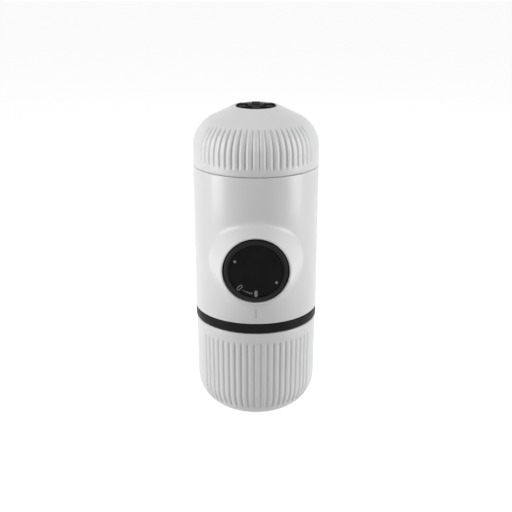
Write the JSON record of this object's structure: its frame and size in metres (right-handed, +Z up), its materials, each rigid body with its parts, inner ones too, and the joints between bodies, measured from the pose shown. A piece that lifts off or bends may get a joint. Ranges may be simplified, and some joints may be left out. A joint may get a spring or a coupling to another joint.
{
  "type": "handheld manual espresso maker",
  "caption": "Capsule-shaped hand-pump espresso maker: fluted water tank on top, plain body with a round push knob, portafilter ring and fluted cup over the outlet.",
  "frame": {"origin": "centre of the cup's flat foot, on the surface it stands on", "axes": "+Z up along the body's axis, -Y out of the pump knob's face, +X to the right of someone who faces the knob"},
  "size_m": [0.062, 0.071, 0.156],
  "materials": {
    "white_shell": "satin",
    "black_plastic": "satin",
    "knob_black": "semi-gloss",
    "grey_plastic": "matt",
    "clear_grey": "satin",
    "black_rubber": "matt",
    "silicone": "matt",
    "steel": "brushed",
    "spring_steel": "bright",
    "brass": "machined"
  },
  "bodies": {
    "main_body": {"body_sleeve": "white_shell", "tank_collar": "black_plastic", "collar_screws": "steel", "inlet_strainer": "steel", "air_valve": "silicone", "pump_housing": "grey_plastic", "knob_guide": "black_plastic", "pump_cylinder": "steel", "rod_gland": "brass", "gland_seal": "black_rubber", "valve_block": "grey_plastic", "port_seals": "silicone", "inlet_seat": "brass", "outlet_cage": "brass", "inlet_spring": "spring_steel", "outlet_spring": "spring_steel", "return_spring": "spring_steel", "group_head": "black_plastic", "group_screws": "steel", "group_gasket": "silicone", "shower_screen": "steel", "shower_screw": "steel"},
    "tank_seal": {"tank_seal": "silicone"},
    "water_tank": {"tank_shell": "white_shell", "tank_liner": "black_plastic", "tank_foot": "black_rubber"},
    "piston": {"plunger": "steel", "plunger_seal": "black_rubber", "plunger_clip": "spring_steel"},
    "knob": {"knob_shell": "knob_black", "knob_cap": "knob_black"},
    "inlet_poppet": {"inlet_valve": "silicone"},
    "outlet_poppet": {"outlet_valve": "silicone"},
    "basket": {"filter_basket": "steel"},
    "portafilter": {"portafilter": "black_plastic", "outlet_nozzle": "black_plastic", "cup_ring": "black_rubber", "nozzle_spring": "spring_steel"},
    "nozzle_poppet": {"nozzle_valve": "silicone"},
    "cup": {"drinking_cup": "white_shell", "coffee_scoop": "black_plastic"}
  },
  "joints": [
    {"name": "tank_rise", "type": "slide", "parent": "main_body", "child": "tank_seal", "axis": [0, 0, 1], "range_m": [0, 0.0201]},
    {"name": "tank_turn", "type": "hinge", "parent": "tank_seal", "child": "water_tank", "pos_m": [0, 0, 0.127], "axis": [0, 0, 1], "range_deg": [0, 720]},
    {"name": "piston_stroke", "type": "slide", "parent": "main_body", "child": "piston", "axis": [0, -1, 0], "range_m": [0, 0.018], "deforming": ["return_spring"]},
    {"name": "knob_turn", "type": "hinge", "parent": "piston", "child": "knob", "pos_m": [0, -0.031, 0.0842], "axis": [0, -1, 0], "range_deg": [-45, 0]},
    {"name": "inlet_lift", "type": "slide", "parent": "main_body", "child": "inlet_poppet", "axis": [0, 0, -1], "range_m": [0, 0.001], "stiffness_N_per_m": 60, "springref_m": -0.001, "deforming": ["inlet_spring"]},
    {"name": "outlet_lift", "type": "slide", "parent": "main_body", "child": "outlet_poppet", "axis": [0, 0, -1], "range_m": [0, 0.001], "stiffness_N_per_m": 60, "springref_m": -0.001, "deforming": ["outlet_spring"]},
    {"name": "portafilter_drop", "type": "slide", "parent": "main_body", "child": "basket", "axis": [0, 0, -1], "range_m": [0, 0.0101]},
    {"name": "portafilter_turn", "type": "hinge", "parent": "basket", "child": "portafilter", "pos_m": [0, 0, 0.0534], "axis": [0, 0, -1], "range_deg": [0, 360]},
    {"name": "nozzle_lift", "type": "slide", "parent": "portafilter", "child": "nozzle_poppet", "axis": [0, 0, -1], "range_m": [0, 0.0008], "stiffness_N_per_m": 60, "springref_m": -0.001, "deforming": ["nozzle_spring"]},
    {"name": "cup_pull", "type": "slide", "parent": "portafilter", "child": "cup", "axis": [0, 0, -1], "range_m": [0, 0.06]}
  ],
  "couplings": [
    {"joint": "tank_rise", "follows": "tank_turn", "m_per_rad": 0.0015915},
    {"joint": "portafilter_drop", "follows": "portafilter_turn", "m_per_rad": 0.0015915}
  ]
}
